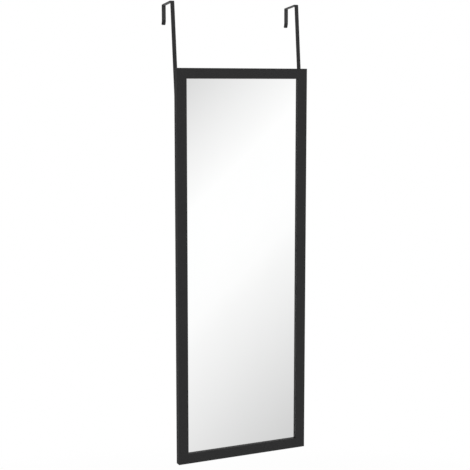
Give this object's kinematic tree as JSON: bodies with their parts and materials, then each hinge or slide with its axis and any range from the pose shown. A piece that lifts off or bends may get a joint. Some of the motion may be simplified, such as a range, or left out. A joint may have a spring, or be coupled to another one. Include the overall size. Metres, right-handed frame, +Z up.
{
  "type": "over the door mirror",
  "caption": "Tall framed mirror that hangs over the top of a door on hinged flat steel hooks with felt pads inside.",
  "frame": {"origin": "midway between the hooks, where the top edge of the door bears on the felt seats", "axes": "+X to the right seen from the front, +Y to the back, towards the door, +Z up"},
  "size_m": [0.34, 0.0986, 1.0941],
  "materials": {
    "moulding": "satin black moulding",
    "mirror": "silvered float glass",
    "hardboard": "smooth brown hardboard",
    "black_steel": "satin black powder coat",
    "zinc_steel": "bright zinc plated",
    "felt": "black pressed felt",
    "rubber": "matte black"
  },
  "bodies": {
    "mirror": {"left_stile": "moulding", "right_stile": "moulding", "top_rail": "moulding", "bottom_rail": "moulding", "corner_nails": "zinc_steel", "mirror_pane": "mirror", "backing_board": "hardboard", "retaining_points": "zinc_steel", "left_hinge_leaf": "black_steel", "right_hinge_leaf": "black_steel", "left_leaf_screws": "zinc_steel", "right_leaf_screws": "zinc_steel", "left_hinge_pin": "zinc_steel", "right_hinge_pin": "zinc_steel", "left_bumper": "rubber", "right_bumper": "rubber"},
    "left_hook_arm": {"left_hook": "black_steel", "left_seat_pad": "felt", "left_leg_pad": "felt"},
    "right_hook_arm": {"right_hook": "black_steel", "right_seat_pad": "felt", "right_leg_pad": "felt"}
  },
  "joints": [
    {"name": "left_hook_hinge", "type": "hinge", "parent": "mirror", "child": "left_hook_arm", "pos_m": [-0.1625, -0.05043, -0.22858], "axis": [-1, 0, 0], "range_deg": [-7.5, 153.5]},
    {"name": "right_hook_hinge", "type": "hinge", "parent": "mirror", "child": "right_hook_arm", "pos_m": [0.1625, -0.05043, -0.22858], "axis": [-1, 0, 0], "range_deg": [-7.5, 153.5]}
  ]
}
